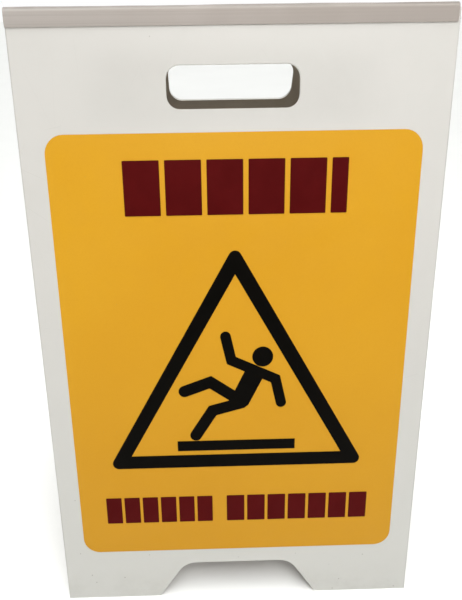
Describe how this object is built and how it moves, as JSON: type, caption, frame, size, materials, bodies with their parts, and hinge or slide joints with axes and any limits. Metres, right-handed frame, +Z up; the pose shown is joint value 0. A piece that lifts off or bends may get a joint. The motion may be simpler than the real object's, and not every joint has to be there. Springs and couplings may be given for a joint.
{
  "type": "wet floor sign",
  "caption": "Folding A-frame wet floor sign: white plastic sheets joined by a hinge strip, each with a hand slot, leg notch and yellow label with a slipping-figure pictogram.",
  "frame": {"origin": "on the floor, under the middle of the ridge", "axes": "+X along the ridge, to the right as seen by someone facing the front sheet; -Y out of the front sheet's side; +Z up"},
  "size_m": [0.4, 0.4084, 0.5868],
  "materials": {
    "white_sheet": "satin white rigid plastic sheet",
    "hinge_strip": "semi-gloss warm grey flexible strip",
    "hinge_tape": "white foam mounting tape",
    "yellow_label": "satin amber-yellow self-adhesive film",
    "black_vinyl": "black print film",
    "red_print": "dark red print film"
  },
  "bodies": {
    "front": {"front_panel": "white_sheet", "front_hinge_leaf": "hinge_strip", "front_hinge_tape": "hinge_tape", "front_label": "yellow_label", "front_warning_triangle": "black_vinyl", "front_slipping_figure": "black_vinyl", "front_figure_head": "black_vinyl", "front_floor_bar": "black_vinyl", "front_headline": "red_print", "front_caption_left": "red_print", "front_caption_right": "red_print"},
    "spine": {"hinge_spine": "hinge_strip"},
    "back": {"back_panel": "white_sheet", "back_hinge_leaf": "hinge_strip", "back_hinge_tape": "hinge_tape", "back_label": "yellow_label", "back_warning_triangle": "black_vinyl", "back_slipping_figure": "black_vinyl", "back_figure_head": "black_vinyl", "back_floor_bar": "black_vinyl", "back_headline": "red_print", "back_caption_left": "red_print", "back_caption_right": "red_print"}
  },
  "joints": [
    {"name": "front_fold", "type": "hinge", "parent": "front", "child": "spine", "pos_m": [0, -0.0046, 0.58299], "axis": [-1, 0, 0], "range_deg": [0, 19]},
    {"name": "back_fold", "type": "hinge", "parent": "spine", "child": "back", "pos_m": [0, 0.0046, 0.58299], "axis": [-1, 0, 0], "range_deg": [0, 19]}
  ],
  "couplings": [
    {"joint": "back_fold", "follows": "front_fold", "ratio": 1}
  ]
}
